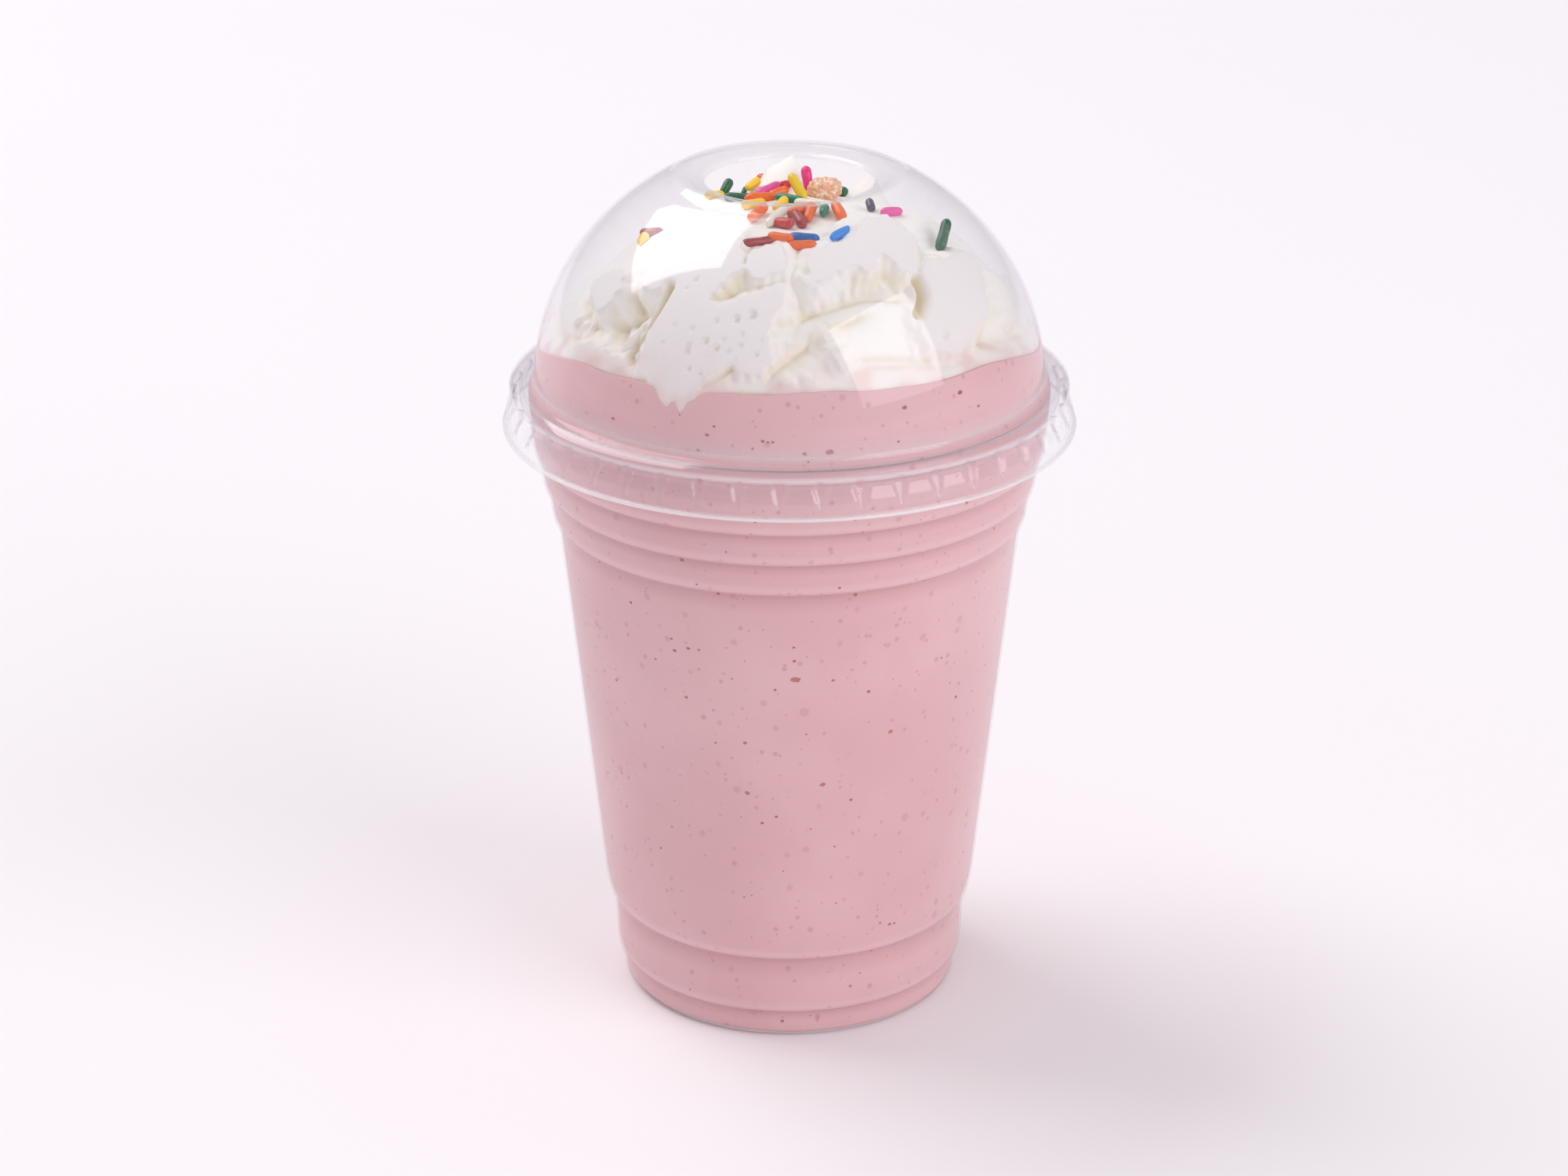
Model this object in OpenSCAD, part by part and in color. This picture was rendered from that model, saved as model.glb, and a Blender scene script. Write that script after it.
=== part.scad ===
// Milkshake to go: a clear ribbed cup with its domed lid, filled with pink shake
// and topped with whipped cream that is squashed against the dome.
// Millimetres, +Z up, origin at the middle of the ring that the cup stands on.

/* [Cup] */
// Height of the cup to the top of its rim
cup_h = 118; // [96:1:144]
// Radius of the edge that the cup stands on
foot_r = 29.9; // [24:0.1:36]
// Wall thickness of the cup
cup_wall = 0.5; // [0.4:0.1:0.8]
// Growth in radius for each millimetre up the main wall
wall_slope = 0.107; // [0.08:0.001:0.13]
// Height of the raised panel under the cup
base_recess = 3; // [2:0.1:4]
// Width of the ring that the cup stands on
foot_ring_w = 2.2; // [1.5:0.1:3]

/* [Cup ribs] */
// Height of the foot band
foot_band_h = 4.8; // [4:0.1:6]
// Height of the plain band above the foot band
lower_band_h = 11.6; // [9:0.1:14]
// Distance from the rim down to the highest rib
top_band_h = 13.4; // [11:0.1:16]
// Distance between two upper ribs
rib_pitch = 6.2; // [5:0.1:7.4]
// How far the wall steps out at each upper rib
rib_step = 0.9; // [0.6:0.1:1.1]
// How far the main wall steps out above the lower band
stack_step = 1.2; // [0.8:0.1:1.4]

/* [Cup rim] */
// How far the rolled rim stands out from the wall
rim_out = 1.4; // [1.2:0.1:2]
// Height of the rolled rim
rim_h = 2.6; // [2.2:0.1:3]
// Rounding of the rolled rim
rim_round = 0.8; // [0.5:0.1:1]

/* [Lid] */
// Wall thickness of the lid
lid_wall = 0.4; // [0.3:0.1:0.5]
// Height of the full dome above the rim, as if it had no hole
dome_rise = 43.4; // [35:0.1:52]
// How far the dome stands in from the outer edge of the cup's rim
dome_inset = 2.8; // [2.5:0.1:3.5]
// Radius of the straw hole
hole_r = 15.1; // [12.6:0.1:18.2]
// Rounding of the crest round the hole
crest_round = 2.1; // [1.5:0.1:2.6]
// How far the skirt reaches below the rim
skirt_h = 7.8; // [6.4:0.1:9.4]
// How far the skirt flares out on its way down
skirt_flare = 1.1; // [0.8:0.1:1.5]
// Number of snap lugs inside the skirt
lug_count = 45; // [30:1:50]
// Room between the cup's rim and the lugs
lug_clear = 0.2; // [0.1:0.05:0.3]

/* [Filling] */
// Middle height of the shake above the cup's rim
fill_over = 11.2; // [9.3:0.1:13.4]
// Rise of the shake's surface for each millimetre to the right
tilt_x = 0.01; // [0:0.01:0.05]
// Rise of the shake's surface for each millimetre to the front
tilt_front = 0.03; // [0:0.01:0.05]
// Drop from the edge of the straw hole to the top of the mound of cream
cream_drop = 4; // [3:0.1:6]
// Room between the cream and the lid
cream_clear = 0.3; // [0.2:0.1:0.6]
// Depth of the broad folds in the cream
fold_depth = 3.2; // [1:0.1:4]
// Depth of the narrow ripples in the cream
ripple_depth = 1.0; // [0:0.1:1.5]

/* [Hidden] */
$fn = 96;

// ---- bands of the cup wall, from the foot up
rib_z = cup_h - top_band_h;
band_z = [0, foot_band_h, foot_band_h + lower_band_h, rib_z - 2 * rib_pitch, rib_z - rib_pitch, rib_z];
band_step = [1.3, 0.95, stack_step, rib_step, rib_step, rib_step];
band_round = [1.5, 3.5, 6.5, 3, 3, 3];
band_slope = [wall_slope, 0.04, wall_slope, wall_slope, wall_slope, wall_slope];
arc_steps = 6;

// radius at which band i starts, at the inner corner of its rib
function corner(i) =
    i == 0 ? foot_r : corner(i - 1) + band_step[i - 1] + band_slope[i - 1] * (band_z[i] - band_z[i - 1]);

// radius of band i at height z, above the rounding at its lower edge
function band_line(i, z) = corner(i) + band_step[i] + band_slope[i] * (z - band_z[i]);

// point on the quarter round at the lower edge of band i, for an angle from 0 to 90
function band_point(i, a) =
    let (z = band_z[i] + band_round[i] * (1 - cos(a)))
    [band_line(i, z) - band_step[i] * (1 - sin(a)), z];

wall_out = [for (i = [0 : len(band_z) - 1], k = [0 : arc_steps]) band_point(i, 90 * k / arc_steps)];
wall_in = [
    for (i = [0 : len(band_z) - 1], k = [0 : arc_steps])
        let (a = 90 * k / arc_steps, p = band_point(i, a))
        [p[0] - cup_wall, p[1] + cup_wall * cos(a)]
];

// ---- rim
last_band = len(band_z) - 1;
rim_z = cup_h - rim_h;
rim_r = band_line(last_band, rim_z) + rim_out;
mouth_r = band_line(last_band, rim_z) - cup_wall;
mouth_round = 0.4;

// quarter arc about a centre, from angle a to angle b
function arc(centre, r, a, b, n = 4) =
    [for (k = [0 : n]) centre + r * [cos(a + (b - a) * k / n), sin(a + (b - a) * k / n)]];

rim_path = concat(
    [[band_line(last_band, rim_z), rim_z]],
    arc([rim_r - rim_round, rim_z + rim_round], rim_round, -90, 0),
    arc([rim_r - rim_round, cup_h - rim_round], rim_round, 0, 90),
    arc([mouth_r + mouth_round, cup_h - mouth_round], mouth_round, 90, 180)
);

// ---- underside
ring_in_r = foot_r - foot_ring_w;
recess_r = ring_in_r - 1.2;
floor_z = base_recess + cup_wall;
base_out = [[0, base_recess], [recess_r, base_recess], [ring_in_r, 0]];
base_in = [[ring_in_r + cup_wall, cup_wall], [recess_r + cup_wall / 2, floor_z], [0, floor_z]];

// ---- lid: the dome is half an ellipse standing on the plane of the rim
dome_r = rim_r - dome_inset;
foot_top = 2.3;
dome_t0 = asin(foot_top / dome_rise);

// length that turns the ellipse's normal at angle t into a unit vector
function normal_len(t) = norm([dome_rise * cos(t), dome_r * sin(t)]);

// point on the dome at angle t, moved in by o
function dome_point(t, o) =
    [dome_r * cos(t), cup_h + dome_rise * sin(t)]
    - o / normal_len(t) * [dome_rise * cos(t), dome_r * sin(t)];

// angle at which the dome runs into the crest's arc, found by repeating its own formula
function crest_angle(t, left) =
    let (reach = dome_r - crest_round * dome_rise / normal_len(t))
    left == 0 ? t : crest_angle(acos((hole_r + crest_round) / reach), left - 1);

dome_t1 = crest_angle(70, 12);
crest_centre = dome_point(dome_t1, crest_round);
crest_a = atan2(dome_r * sin(dome_t1), dome_rise * cos(dome_t1));
dome_steps = 26;
crest_steps = 8;

function dome_path(o) = [
    for (k = [0 : dome_steps])
        dome_point(dome_t0 + (dome_t1 - dome_t0) * k / dome_steps, o)
];
function crest_path(o) = [
    for (k = [1 : crest_steps])
        let (a = crest_a + (180 - crest_a) * k / crest_steps)
        crest_centre + (crest_round - o) * [cos(a), sin(a)]
];

// ---- lid: valley that rests on the rim, bead and skirt
valley_r = mouth_r + mouth_round + 0.4;
valley_z = cup_h + lid_wall;
bead_in_r = valley_r + 0.4;
bead_half = 1.2;
bead_h = 0.7;
edge_r = bead_in_r + 2 * bead_half;
edge_z = cup_h - 0.8;
edge_step = 0.25;
skirt_top_z = edge_z - 0.4;
lip_z = cup_h - skirt_h;
lip_h = 0.5;
lip_out = 0.55;
skirt_top_r = edge_r - edge_step;
skirt_low_r = skirt_top_r + skirt_flare;
foot_steps = 6;

// hollow round between the foot of the dome and the valley
function foot_path(o) =
    let (d = dome_point(dome_t0, 0))
    [
        for (k = [1 : foot_steps])
            let (a = 90 * k / foot_steps)
            [valley_r - (valley_r - d[0] + o) * cos(a), d[1] - (d[1] - valley_z + o) * sin(a)]
    ];

function bead_path(o) = [
    for (k = [0 : 8])
        let (a = 180 - 180 * k / 8)
        [bead_in_r + bead_half + (bead_half - o) * cos(a), valley_z - o + bead_h * sin(a)]
];

function skirt_path(o) = [
    [edge_r - o, edge_z - o / 2],
    [skirt_top_r - o, skirt_top_z],
    [skirt_low_r - o, lip_z + lip_h]
];

function reversed(list) = [for (k = [len(list) - 1 : -1 : 0]) list[k]];

lid_out = concat(
    reversed(crest_path(0)),
    reversed(dome_path(0)),
    foot_path(0),
    bead_path(0),
    skirt_path(0)
);
lip_slope = 0.1;
lid_lip = [
    [skirt_low_r + lip_out, lip_z + lip_h - lip_slope],
    [skirt_low_r + lip_out, lip_z],
    [skirt_low_r - lid_wall, lip_z]
];
lid_in = concat(
    reversed(skirt_path(lid_wall)),
    reversed(bead_path(lid_wall)),
    reversed(foot_path(lid_wall)),
    dome_path(lid_wall),
    crest_path(lid_wall)
);

// ---- snap lugs: short wedges inside the skirt, pointed below
lug_top_z = rim_z + 1.1;
lug_h = 3.2;
lug_nose = 1.2;
lug_w = 2;
lug_in_r = rim_r + lug_clear;

// middle of the skirt's wall at height z
function skirt_mid(z) =
    skirt_top_r - lid_wall / 2 + skirt_flare * (skirt_top_z - z) / (skirt_top_z - lip_z - lip_h);

lug_side = [
    [skirt_mid(lug_top_z), lug_top_z],
    [lug_in_r, lug_top_z],
    [lug_in_r, lug_top_z - lug_nose],
    [skirt_mid(lug_top_z - lug_h), lug_top_z - lug_h]
];

// ---- filling
fill_z = cup_h + fill_over;
fill_top = cup_h + 2 * fill_over;
fill_gap = 0.05;

// height of the shake's sloping surface at a place
function fill_at(x, y) = fill_z + tilt_x * x - tilt_front * y;

// inside radius of the dome at height z
function dome_in_r(z) =
    (dome_r - lid_wall) * sqrt(max(0, 1 - pow((z - cup_h) / (dome_rise - lid_wall), 2)));

// ---- whipped cream: a mound of rings from the shake up to the middle of its top
mound_h = crest_centre[1] - cream_drop - fill_z;
cream_rings = 26;
cream_sides = 90;
mound_r = dome_r - lid_wall - cream_clear;
peak_at = [0, 9];
peak_h = 4.2;
peak_w = 4.6;
curl_at = [12.5, 6];
curl_h = 2.6;
curl_w = 4.2;

// broad folds that turn as they climb, and narrow ripples across them
function fold(e, a) =
    fold_depth * (0.5 + 0.5 * sin(3 * a + 4.2 * e + 20)) * sin(2 * e)
    + ripple_depth * (0.5 + 0.5 * sin(8 * a - 7 * e)) * sin(e) * cos(e);

// small soft peak of height h and width w
function peak(p, at, h, w) = h * exp(-(pow(p[0] - at[0], 2) + pow(p[1] - at[1], 2)) / (w * w));

// radius of the mound along its sloping foot, inside the dome
function foot_of(a, r, left) =
    left == 0
        ? r
        : foot_of(a, min(mound_r, dome_in_r(fill_at(r * cos(a), r * sin(a))) - cream_clear), left - 1);

// point of the mound at elevation e and direction a
function cream_point(e, a) =
    let (
        foot = foot_of(a, mound_r, 6),
        low = fill_at(foot * cos(a), foot * sin(a)),
        start = low + (fill_z - low) * sin(e),
        r = foot * cos(e) - fold(e, a),
        flat = [r * cos(a), r * sin(a)],
        bumps = (peak(flat, peak_at, peak_h, peak_w) + peak(flat, curl_at, curl_h, curl_w)) * sin(e),
        z = start + mound_h * sin(e) + bumps,
        kept = r < hole_r ? r : min(r, max(hole_r, dome_in_r(z) - cream_clear))
    )
    [kept * cos(a), kept * sin(a), z];

cream_skin = [
    for (i = [0 : cream_rings - 1], j = [0 : cream_sides - 1])
        cream_point(90 * i / cream_rings, 360 * j / cream_sides)
];
middle_bumps = peak([0, 0], peak_at, peak_h, peak_w) + peak([0, 0], curl_at, curl_h, curl_w);
cream_top = [0, 0, fill_z + mound_h + middle_bumps];
cream_points = concat(cream_skin, [cream_top, [0, 0, fill_z]]);
top_index = cream_rings * cream_sides;

function ring_index(i, j) = i * cream_sides + j % cream_sides;

cream_faces = concat(
    [
        for (i = [0 : cream_rings - 2], j = [0 : cream_sides - 1])
            [ring_index(i, j), ring_index(i + 1, j), ring_index(i + 1, j + 1)]
    ],
    [
        for (i = [0 : cream_rings - 2], j = [0 : cream_sides - 1])
            [ring_index(i, j), ring_index(i + 1, j + 1), ring_index(i, j + 1)]
    ],
    [
        for (j = [0 : cream_sides - 1])
            [ring_index(cream_rings - 1, j), top_index, ring_index(cream_rings - 1, j + 1)]
    ],
    [for (j = [0 : cream_sides - 1]) [ring_index(0, j), ring_index(0, j + 1), top_index + 1]]
);

// ---- the pieces

// clear cup with its ribs, rolled rim and raised base
module cup() {
    color([0.95, 0.93, 0.95, 0.35])
        rotate_extrude()
            polygon(concat(base_out, wall_out, rim_path, reversed(wall_in), base_in));
}

// snap lugs that catch the cup's rim, evenly round the skirt
module lugs() {
    for (i = [0 : lug_count - 1])
        rotate([90, 0, 360 * i / lug_count])
            linear_extrude(lug_w, center = true)
                polygon(lug_side);
}

// clear lid: dome with its straw hole, valley on the rim, bead and snap skirt
module lid() {
    color([0.95, 0.95, 0.97, 0.3]) {
        rotate_extrude()
            polygon(concat(lid_out, lid_lip, lid_in));
        lugs();
    }
}

// shake, from the base of the cup up into the dome
module milkshake() {
    color([0.83, 0.68, 0.69])
        difference() {
            rotate_extrude()
                polygon(concat(
                    reversed(base_in),
                    wall_in,
                    [[mouth_r, cup_h - mouth_round]],
                    [for (p = reversed(foot_path(lid_wall + fill_gap))) if (p[0] < mouth_r) p],
                    [for (p = dome_path(lid_wall + fill_gap)) if (p[1] < fill_top) p],
                    [[0, fill_top]]
                ));
            multmatrix([[1, 0, 0, 0], [0, 1, 0, 0], [tilt_x, -tilt_front, 1, fill_z], [0, 0, 0, 1]])
                translate([0, 0, cup_h / 2])
                    cube([3 * rim_r, 3 * rim_r, cup_h], center = true);
        }
}

// whipped cream, a folded mound squashed against the dome
module whipped_cream() {
    color([0.96, 0.95, 0.92])
        polyhedron(cream_points, cream_faces, convexity = 6);
}

cup();
lid();
milkshake();
whipped_cream();
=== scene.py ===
import bpy
import numpy as np
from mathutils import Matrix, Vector


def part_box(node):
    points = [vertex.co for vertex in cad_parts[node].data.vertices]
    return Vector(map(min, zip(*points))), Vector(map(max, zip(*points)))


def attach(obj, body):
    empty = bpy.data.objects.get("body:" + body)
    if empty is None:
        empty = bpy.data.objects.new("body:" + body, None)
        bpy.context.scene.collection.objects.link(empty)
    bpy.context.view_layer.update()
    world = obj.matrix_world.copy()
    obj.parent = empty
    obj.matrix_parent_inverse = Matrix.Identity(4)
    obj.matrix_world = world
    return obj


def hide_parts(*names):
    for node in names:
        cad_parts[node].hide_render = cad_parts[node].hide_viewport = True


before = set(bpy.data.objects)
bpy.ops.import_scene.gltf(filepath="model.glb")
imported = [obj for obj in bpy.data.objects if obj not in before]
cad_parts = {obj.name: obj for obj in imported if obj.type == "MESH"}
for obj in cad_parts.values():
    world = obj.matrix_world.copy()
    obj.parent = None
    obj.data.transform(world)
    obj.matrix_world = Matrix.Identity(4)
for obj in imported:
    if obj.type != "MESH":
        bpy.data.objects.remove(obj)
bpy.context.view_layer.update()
print("frame loaded")

mm = 0.001
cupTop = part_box("cup")[1]
cupHeight = cupTop[2] / mm  # top of the cup's rim
rimRadius = cupTop[0] / mm
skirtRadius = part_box("lid")[1][0] / mm
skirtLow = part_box("lid")[0][2] / mm


# A node's output. + - * ** add Math nodes, so a pattern is written as arithmetic.
class Sock:
    def __init__(self, finish, out):
        self.finish = finish
        self.out = out

    def joined(self, operation, first, second):
        return self.finish.add("ShaderNodeMath", {"operation": operation}, {0: first, 1: second})

    def __add__(self, other):
        return self.joined("ADD", self, other)

    def __sub__(self, other):
        return self.joined("SUBTRACT", self, other)

    def __rsub__(self, other):
        return self.joined("SUBTRACT", other, self)

    def __mul__(self, other):
        return self.joined("MULTIPLY", self, other)

    def __pow__(self, other):
        return self.joined("POWER", self, other)

    __radd__ = __add__
    __rmul__ = __mul__

    # 0 below low, 1 above high, smooth between.
    def between(self, low, high):
        settings = {"interpolation_type": "SMOOTHSTEP"}
        sockets = {"Value": self, "From Min": low, "From Max": high}
        return self.finish.add("ShaderNodeMapRange", settings, sockets)


# A material under construction.
class Finish:
    def __init__(self, name):
        self.material = bpy.data.materials.new(name)
        self.material.use_nodes = True
        self.tree = self.material.node_tree
        self.tree.nodes.clear()

    def add(self, kind, settings=None, sockets=None, output=0):
        node = self.tree.nodes.new(kind)
        for key, value in (settings or {}).items():
            setattr(node, key, value)
        for key, value in (sockets or {}).items():
            if isinstance(value, Sock):
                self.tree.links.new(value.out, node.inputs[key])
            else:
                node.inputs[key].default_value = value
        return Sock(self, node.outputs[output])

    def place(self):
        return self.add("ShaderNodeTexCoord", output="Object")

    def noise(self, scale, detail=2.0, roughness=0.5):
        sockets = {"Vector": self.place(), "Scale": scale, "Detail": detail, "Roughness": roughness}
        return self.add("ShaderNodeTexNoise", None, sockets)

    def attribute(self, name, output="Fac"):
        return self.add("ShaderNodeAttribute", {"attribute_name": name}, output=output)

    # Colour that goes from first to second as share goes from 0 to 1.
    def blend(self, share, first, second):
        settings = {"data_type": "RGBA", "clamp_factor": True}
        return self.add("ShaderNodeMix", settings, {0: share, 6: first, 7: second}, output=2)

    def bump(self, height, distance, strength=1.0):
        sockets = {"Height": height, "Distance": distance, "Strength": strength}
        return self.add("ShaderNodeBump", None, sockets)

    def principled(self, sockets):
        return self.add("ShaderNodeBsdfPrincipled", None, sockets)

    def show(self, shader):
        end = self.tree.nodes.new("ShaderNodeOutputMaterial")
        self.tree.links.new(shader.out, end.inputs["Surface"])
        return self.material


# Mesh from points in mm and faces, turned so that its signed volume, sum(a.(b x c)) / 6, is positive.
def meshPiece(name, points, faces, material, creaseAngle=40.0):
    quads = np.asarray(faces, dtype=np.int64)
    corners = points[quads]
    fan = np.einsum("ij,ij->i", corners[:, 0], np.cross(corners[:, 1], corners[:, 2]))
    if quads.shape[1] == 4:
        fan = fan + np.einsum("ij,ij->i", corners[:, 0], np.cross(corners[:, 2], corners[:, 3]))
    if fan.sum() < 0:
        quads = quads[:, ::-1]
    mesh = bpy.data.meshes.new(name)
    mesh.vertices.add(len(points))
    mesh.vertices.foreach_set("co", (points * mm).astype(np.float32).ravel())
    mesh.loops.add(quads.size)
    mesh.loops.foreach_set("vertex_index", quads.ravel().astype(np.int32))
    mesh.polygons.add(len(quads))
    mesh.polygons.foreach_set("loop_start", np.arange(0, quads.size, quads.shape[1], dtype=np.int32))
    mesh.update(calc_edges=True)
    mesh.validate()
    mesh.shade_smooth()
    mesh.set_sharp_from_angle(angle=np.radians(creaseAngle))
    mesh.materials.append(material)
    piece = bpy.data.objects.new(name, mesh)
    bpy.context.scene.collection.objects.link(piece)
    return piece


# Quads of a grid whose columns go all the way round, and whose rows do too if wrapRows.
def gridFaces(rows, columns, wrapRows=False):
    row = np.arange(rows if wrapRows else rows - 1)[:, None]
    column = np.arange(columns)[None, :]
    nextRow = (row + 1) % rows
    nextColumn = (column + 1) % columns
    quads = [row * columns + column, row * columns + nextColumn,
             nextRow * columns + nextColumn, nextRow * columns + column]
    return np.stack(np.broadcast_arrays(*quads), axis=-1).reshape(-1, 4)


# Triangles from a ring to its pole: (corner, next corner, pole).
def poleFaces(ring, pole):
    return np.stack([ring, np.roll(ring, -1), np.full(len(ring), pole)], axis=-1)


# Triangles of a grid whose columns go all the way round, shut by a pole after its last point at either end.
def closedFaces(rows, columns):
    body = gridFaces(rows, columns)
    ring = np.arange(columns)
    low = poleFaces(ring, rows * columns)[:, ::-1]
    high = poleFaces(ring + (rows - 1) * columns, rows * columns + 1)
    return np.vstack([body[:, [0, 1, 2]], body[:, [0, 2, 3]], low, high])


# Piece from a (rows, columns, 3) grid, shut at both ends by a pole at the mean of the end ring.
def closedPiece(name, grid, material, creaseAngle=40.0):
    points = np.vstack([grid.reshape(-1, 3), grid[0].mean(axis=0), grid[-1].mean(axis=0)])
    return meshPiece(name, points, closedFaces(*grid.shape[:2]), material, creaseAngle)


# Grid of a profile of (radius, height) rows turned about Z: (r cos a, r sin a, z).
def lathe(profile, sides):
    angle = np.linspace(0, 2 * np.pi, sides, endpoint=False)
    radius, height = profile[:, :1], profile[:, 1:]
    return np.stack([radius * np.cos(angle), radius * np.sin(angle), height + 0 * angle], axis=-1)


# exp(-(x / width)^2)
def bell(x, width):
    return np.exp(-(x / width) ** 2)


# Smooth noise about -1 to 1: the sum of cos(k.p + phase) over random waves of about this size in mm.
def softNoise(points, size, seed, waves=20):
    draw = np.random.default_rng(seed)
    way = draw.normal(size=(waves, 3))
    way *= 2 * np.pi / size * draw.uniform(0.6, 1.4, (waves, 1)) / np.linalg.norm(way, axis=1, keepdims=True)
    phase = draw.uniform(0, 2 * np.pi, waves)
    total = np.zeros(points.shape[:-1])
    for k, turn in zip(way, phase):
        total += np.cos(points @ k + turn)
    return total / np.sqrt(waves / 2)


cupShape = {
    "footRadius": 29.9,
    "wall": 0.5,
    "footBand": 4.8,
    "lowerBand": 11.6,
    "topBand": 13.4,  # rim down to the highest rib
    "ribPitch": 6.2,
    "steps": (1.3, 0.95, 1.2, 0.9, 0.9, 0.9),  # outward step at the foot and at each rib
    "rounds": (1.5, 3.5, 6.5, 3.0, 3.0, 3.0),  # height of the round above it
    "slopes": (0.107, 0.04, 0.107, 0.107, 0.107, 0.107),
    "rimHeight": 2.6,
    "rimOut": 1.4,
    "rimRound": 0.8,
    "groove": 0.22,  # groove at the start of each rib, and its half width
    "grooveHalf": 0.45,
    "recess": 3.0,
    "recessSlope": 1.2,  # how far the recess's side leans in
    "footRing": 2.2,
    "mouthRound": 0.4,
    "middle": 0.6,  # radius of the smallest ring about the axis
    "sides": 288,
}


# centre + radius (cos a, sin a), a from start to end in degrees.
def arc(centre, radius, start, end, count=7):
    angle = np.radians(np.linspace(start, end, count))
    return np.stack([centre[0] + radius * np.cos(angle), centre[1] + radius * np.sin(angle)], axis=-1)


# Heights at which the bands of the wall start, from the foot up.
def bandStarts():
    s = cupShape
    rib = cupHeight - s["topBand"]
    foot = s["footBand"]
    return (0.0, foot, foot + s["lowerBand"], rib - 2 * s["ribPitch"], rib - s["ribPitch"], rib)


# Rows of the wall, moved in by inset. Above the start of each band, with a from 0 to 90 degrees:
# z = start + round (1 - cos a) and r = corner + step sin a + slope (z - start) - inset, less the groove
# g exp(-((z - start) / w)^2) on all but the first; the row is then lifted by lift cos a.
def wallProfile(inset, lift):
    s = cupShape
    starts = bandStarts()
    ends = starts[1:] + (cupHeight - s["rimHeight"],)
    corner = s["footRadius"]
    rows = []
    for start, end, step, rise, slope in zip(starts, ends, s["steps"], s["rounds"], s["slopes"]):
        angle = np.radians(np.linspace(0, 90, 15))
        z = start + rise * (1 - np.cos(angle))
        groove = s["groove"] * bell(z - start, s["grooveHalf"]) * (start > 0)
        r = corner + step * np.sin(angle) + slope * (z - start) - groove
        rows.append(np.stack([r - inset, z + lift * np.cos(angle)], axis=-1))
        z = np.linspace(start + rise, end, max(3, int((end - start - rise) / 3)))[1:-1]
        rows.append(np.stack([corner + step + slope * (z - start) - inset, z], axis=-1))
        corner += step + slope * (end - start)
    rows.append(np.array([[corner - inset, ends[-1]]]))
    return np.vstack(rows)


wallOut = wallProfile(0.0, 0.0)
wallIn = wallProfile(cupShape["wall"], cupShape["wall"])
rimBase = wallOut[-1, 1]
mouthRadius = wallIn[-1, 0]


# Closed outline: recessed base, outer wall, rolled rim, inner wall, floor.
def cupProfile():
    s = cupShape
    ringIn = s["footRadius"] - s["footRing"]
    recessRadius = ringIn - s["recessSlope"]
    floor = s["recess"] + s["wall"]
    below = np.array([[s["middle"], s["recess"]], [recessRadius, s["recess"]], [ringIn, 0.0]])
    rimOut = wallOut[-1, 0] + s["rimOut"]
    curl, lip = s["rimRound"], s["mouthRound"]
    rim = np.vstack([
        arc((rimOut - curl, rimBase + curl), curl, -90, 0),
        arc((rimOut - curl, cupHeight - curl), curl, 0, 90),
        arc((mouthRadius + lip, cupHeight - lip), lip, 90, 180),
    ])
    within = np.array([
        [ringIn + s["wall"], s["wall"]],
        [recessRadius + s["wall"] / 2, floor],
        [s["middle"], floor],
    ])
    return np.vstack([below, wallOut, rim, wallIn[::-1], within])


lidShape = {
    "wall": 0.4,
    "rise": 43.4,  # height of the whole dome above the rim
    "inset": 2.8,  # the dome stands in from the rim by this
    "hole": 15.1,
    "crest": 0.9,  # round of the crest
    "crestEnd": 96,  # degrees at which the crest's arc ends, just past its top
    "crestOut": 5.2,  # how far out the crest's start stands from the straw hole
    "crestFall": 1.0,  # the ring inside it slopes down to the hole by this
    "crestStep": 0.24,  # height of a small step in that ring, its place along it, and its softness
    "stepAt": 0.4,
    "stepSoft": 0.035,
    "holeDrop": 0.25,  # last drop at the hole's edge
    "groove": 0.28,  # depth of the groove between dome and crest
    "grooveSpan": 5.0,  # degrees of the dome, up to the crest, that have finer rows
    "foot": 2.3,  # height at which the dome's foot starts to flare
    "seatOut": 0.8,  # from the cup's mouth out to the lid's seat, then to the bead, its crown and its edge
    "beadOut": 0.35,
    "crownOut": 1.0,
    "edgeOut": 1.45,
    "beadTop": 1.15,  # top, shoulder and foot of the bead above and below the cup's rim
    "beadShoulder": 0.0,
    "beadEdge": -0.9,
    "shoulderRound": 0.35,
    "crownRound": 0.45,
    "shoulderTilt": 33,  # degrees of the sloping shoulder below level
    "bandLow": -4.7,  # foot of the sloping band that the lugs stand in
    "lip": 0.36,
    "lugs": 45,
    "lugDepth": 0.75,
    "lugRadius": 1.45,
    "lugTip": 0.55,
    "lugHeight": 4.9,
    "lugSoft": 0.5,  # width of a lug's soft edge
    "sides": 810,
}
domeRadius = rimRadius - lidShape["inset"]
domeRise = lidShape["rise"]


# Half ellipse on the rim's plane, moved in by inset along its normal n:
# (R cos t, rim + H sin t) - inset n, n = (H cos t, R sin t) / length.
def domePoint(t, inset):
    across, up = domeRise * np.cos(t), domeRadius * np.sin(t)
    length = np.hypot(across, up)
    r = domeRadius * np.cos(t) - inset * across / length
    z = cupHeight + domeRise * np.sin(t) - inset * up / length
    return np.stack([r, z], axis=-1)


# Angle at which the dome runs into the crest's arc, by repeating its own formula.
def crestStart():
    t = np.radians(70)
    for _ in range(12):
        length = np.hypot(domeRise * np.cos(t), domeRadius * np.sin(t))
        reach = domeRadius - lidShape["crest"] * domeRise / length
        t = np.arccos((lidShape["hole"] + lidShape["crestOut"]) / reach)
    return t


domeStart = np.arcsin(lidShape["foot"] / domeRise)
domeEnd = crestStart()
crestCentre = domePoint(domeEnd, lidShape["crest"])


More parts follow.
